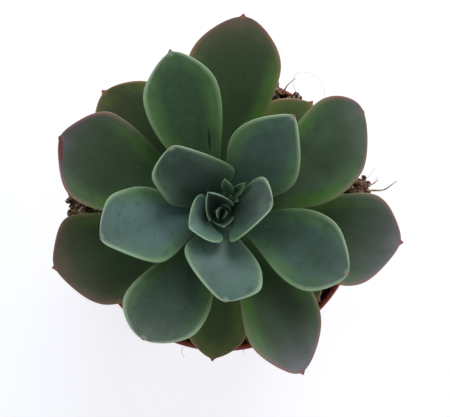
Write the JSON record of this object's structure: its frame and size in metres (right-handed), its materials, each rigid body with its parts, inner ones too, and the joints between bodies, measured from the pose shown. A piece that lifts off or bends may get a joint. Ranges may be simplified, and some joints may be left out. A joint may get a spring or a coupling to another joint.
{
  "type": "potted rosette succulent",
  "caption": "Rosette succulent with thick, pointed grey-green leaves and a small side shoot, rooted in potting mix in a round tapered plastic nursery pot.",
  "frame": {"origin": "centre of the pot's flat underside", "axes": "+Z up along the pot's axis; +Y towards the longest leaf, and +X to the right when seen from above with +Y up"},
  "size_m": [0.1312, 0.1357, 0.1312],
  "materials": {
    "pot": "satin",
    "soil": "matte",
    "stem": "matte",
    "fibres": "matte",
    "young_leaves": "satin",
    "old_leaves": "satin"
  },
  "bodies": {
    "root": {"pot": "pot", "stem": "stem", "soil": "soil", "bud_leaf_1": "young_leaves", "bud_leaf_2": "young_leaves", "bud_leaf_3": "young_leaves", "bud_leaf_4": "young_leaves", "inner_leaf_1": "young_leaves", "inner_leaf_2": "young_leaves", "inner_leaf_3": "young_leaves", "inner_leaf_4": "young_leaves", "middle_leaf_1": "young_leaves", "middle_leaf_2": "young_leaves", "middle_leaf_3": "young_leaves", "middle_leaf_4": "young_leaves", "middle_leaf_5": "young_leaves", "outer_leaf_1": "old_leaves", "outer_leaf_2": "old_leaves", "outer_leaf_3": "old_leaves", "outer_leaf_4": "old_leaves", "outer_leaf_5": "old_leaves", "outer_leaf_6": "old_leaves", "low_leaf_1": "old_leaves", "low_leaf_2": "old_leaves", "low_leaf_3": "old_leaves", "low_leaf_4": "old_leaves", "low_leaf_5": "old_leaves", "side_shoot_stalk": "young_leaves", "side_shoot_leaf_1": "young_leaves", "side_shoot_leaf_2": "young_leaves", "side_shoot_leaf_3": "young_leaves", "fibre_1": "fibres", "fibre_2": "fibres", "fibre_3": "fibres"}
  },
  "joints": []
}
